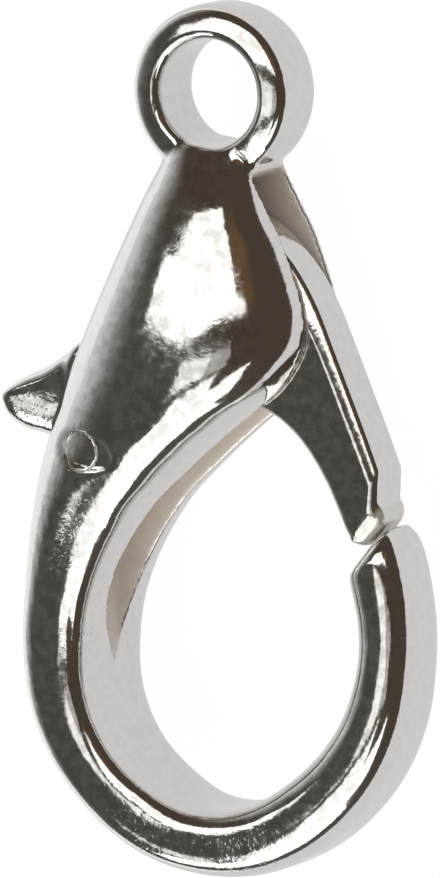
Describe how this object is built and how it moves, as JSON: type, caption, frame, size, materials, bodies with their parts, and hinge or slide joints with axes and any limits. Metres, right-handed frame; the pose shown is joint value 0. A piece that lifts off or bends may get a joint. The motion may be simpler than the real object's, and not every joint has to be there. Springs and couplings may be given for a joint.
{
  "type": "snap hook",
  "caption": "Small plated lobster claw snap hook: closed eye, two domed cheeks, curved claw and a sprung gate lever with a thumb tab on a rivet.",
  "frame": {"origin": "on the floor under the middle of the clasp's box, as it lies on its back", "axes": "+Y from the claw to the eye, +Z out of the front face, up from the floor, +X towards the gate; the mid-plane of the flat slot is parallel to the floor"},
  "size_m": [0.0064, 0.0122, 0.0029],
  "materials": {
    "plated_casting": "polished nickel plate on a zinc casting, with small casting pits",
    "plated_lever": "polished nickel plate on a zinc casting",
    "rivet_steel": "swaged steel pin, plated over",
    "spring_steel": "dull spring strip"
  },
  "bodies": {
    "hook": {"hook_body": "plated_casting", "rivet_pin": "rivet_steel", "lever_spring": "spring_steel"},
    "gate": {"gate_lever": "plated_lever"}
  },
  "joints": [
    {"name": "gate_hinge", "type": "hinge", "parent": "hook", "child": "gate", "pos_m": [-0.00144, -0.00012, 0.00143], "axis": [0, 0, 1], "range_deg": [0, 12], "stiffness_Nm_per_rad": 0.01, "springref_deg": -28.65, "deforming": ["lever_spring"]}
  ]
}
